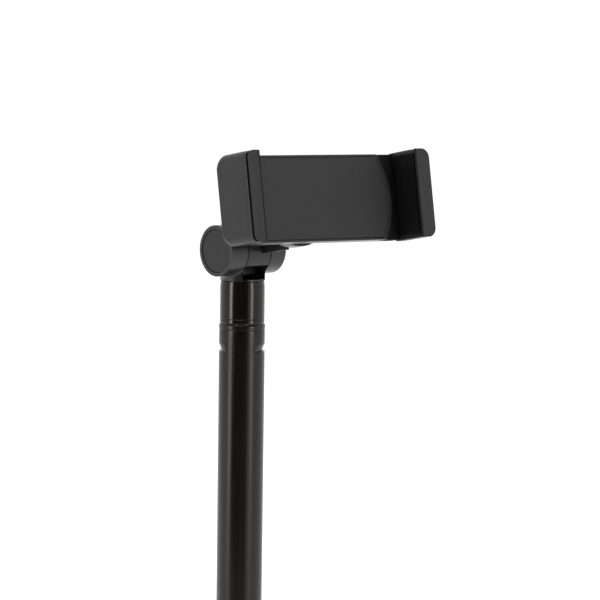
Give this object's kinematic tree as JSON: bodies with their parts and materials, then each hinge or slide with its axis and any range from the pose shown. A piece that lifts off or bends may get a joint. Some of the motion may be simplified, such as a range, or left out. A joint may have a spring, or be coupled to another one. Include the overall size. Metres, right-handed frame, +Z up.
{
  "type": "phone holder stand",
  "caption": "Spring clamp phone holder on a hinged swivel head and a collapsible round pole with three folding legs and rubber feet.",
  "frame": {"origin": "on the floor, at the middle of the footprint", "axes": "+Z up, the holder faces -Y, the hinge barrel lies along X"},
  "size_m": [0.1832, 0.16, 0.2556],
  "materials": {
    "pole_metal": "gloss black lacquer",
    "yoke_plastic": "satin moulded",
    "section_steel": "drawn tube, satin",
    "holder_plastic": "fine matt grain",
    "panel_plastic": "fine matt grain",
    "pad_rubber": "soft matt",
    "foot_rubber": "matt",
    "hub_plastic": "fine matt grain",
    "leg_lacquer": "satin black lacquer",
    "bush_plastic": "natural acetal",
    "screw_steel": "black oxide",
    "spring_steel": "bright wire"
  },
  "bodies": {
    "base": {"leg_hub": "hub_plastic", "hub_screw": "screw_steel", "leg_pins": "screw_steel", "outer_tube": "pole_metal", "tube_collar": "pole_metal", "tube_plug": "bush_plastic", "guide_bush_1": "bush_plastic"},
    "leg_front": {"leg_front_bar": "leg_lacquer", "leg_front_foot": "foot_rubber"},
    "leg_right": {"leg_right_bar": "leg_lacquer", "leg_right_foot": "foot_rubber"},
    "leg_left": {"leg_left_bar": "leg_lacquer", "leg_left_foot": "foot_rubber"},
    "section_2": {"tube_2": "section_steel", "slide_bush_2": "bush_plastic", "guide_bush_2": "bush_plastic"},
    "section_3": {"tube_3": "section_steel", "slide_bush_3": "bush_plastic", "guide_bush_3": "bush_plastic"},
    "rod_slider": {"slide_bush_4": "bush_plastic"},
    "neck": {"pole_rod": "section_steel", "neck_tube": "pole_metal", "yoke": "yoke_plastic", "hinge_axle": "screw_steel", "end_disc_left": "yoke_plastic", "end_disc_right": "yoke_plastic"},
    "arm": {"knuckle_arm": "holder_plastic", "swivel_disc": "holder_plastic", "spring_washer": "spring_steel", "swivel_screw": "screw_steel"},
    "holder": {"rear_housing": "holder_plastic", "front_panel": "panel_plastic", "housing_screws": "screw_steel", "fixed_jaw": "holder_plastic", "fixed_jaw_lip": "holder_plastic", "fixed_jaw_pad": "pad_rubber", "jaw_springs": "spring_steel", "spring_posts": "screw_steel"},
    "jaw": {"moving_jaw": "holder_plastic", "moving_jaw_lip": "holder_plastic", "moving_jaw_pad": "pad_rubber", "jaw_slide": "holder_plastic"}
  },
  "joints": [
    {"name": "leg_front_fold", "type": "hinge", "parent": "base", "child": "leg_front", "pos_m": [0, 0.016, 0.056], "axis": [1, 0, 0], "range_deg": [0, 60.59]},
    {"name": "leg_right_fold", "type": "hinge", "parent": "base", "child": "leg_right", "pos_m": [0.00779, 0.0295, 0.056], "axis": [-0.5, 0.866, 0], "range_deg": [0, 60.59]},
    {"name": "leg_left_fold", "type": "hinge", "parent": "base", "child": "leg_left", "pos_m": [-0.00779, 0.0295, 0.056], "axis": [-0.5, -0.866, 0], "range_deg": [0, 60.59]},
    {"name": "pole_slide_1", "type": "slide", "parent": "base", "child": "section_2", "axis": [0, 0, 1], "range_m": [0, 0.09]},
    {"name": "pole_slide_2", "type": "slide", "parent": "section_2", "child": "section_3", "axis": [0, 0, 1], "range_m": [0, 0.09]},
    {"name": "pole_slide_3", "type": "slide", "parent": "section_3", "child": "rod_slider", "axis": [0, 0, 1], "range_m": [0, 0.09]},
    {"name": "pole_turn", "type": "hinge", "parent": "rod_slider", "child": "neck", "pos_m": [0, 0.025, 0.2], "axis": [0, 0, 1], "continuous": true},
    {"name": "head_tilt", "type": "hinge", "parent": "neck", "child": "arm", "pos_m": [0, 0.025, 0.222], "axis": [-1, 0, 0], "range_deg": [-30, 75]},
    {"name": "holder_turn", "type": "hinge", "parent": "arm", "child": "holder", "pos_m": [0, 0.00364, 0.23781], "axis": [0, -0.9813, 0.1925], "range_deg": [-90, 90]},
    {"name": "jaw_open", "type": "slide", "parent": "holder", "child": "jaw", "axis": [0.9996, -0.0054, -0.0274], "range_m": [0, 0.028], "stiffness_N_per_m": 300, "springref_m": -0.02, "deforming": ["jaw_springs"]}
  ]
}
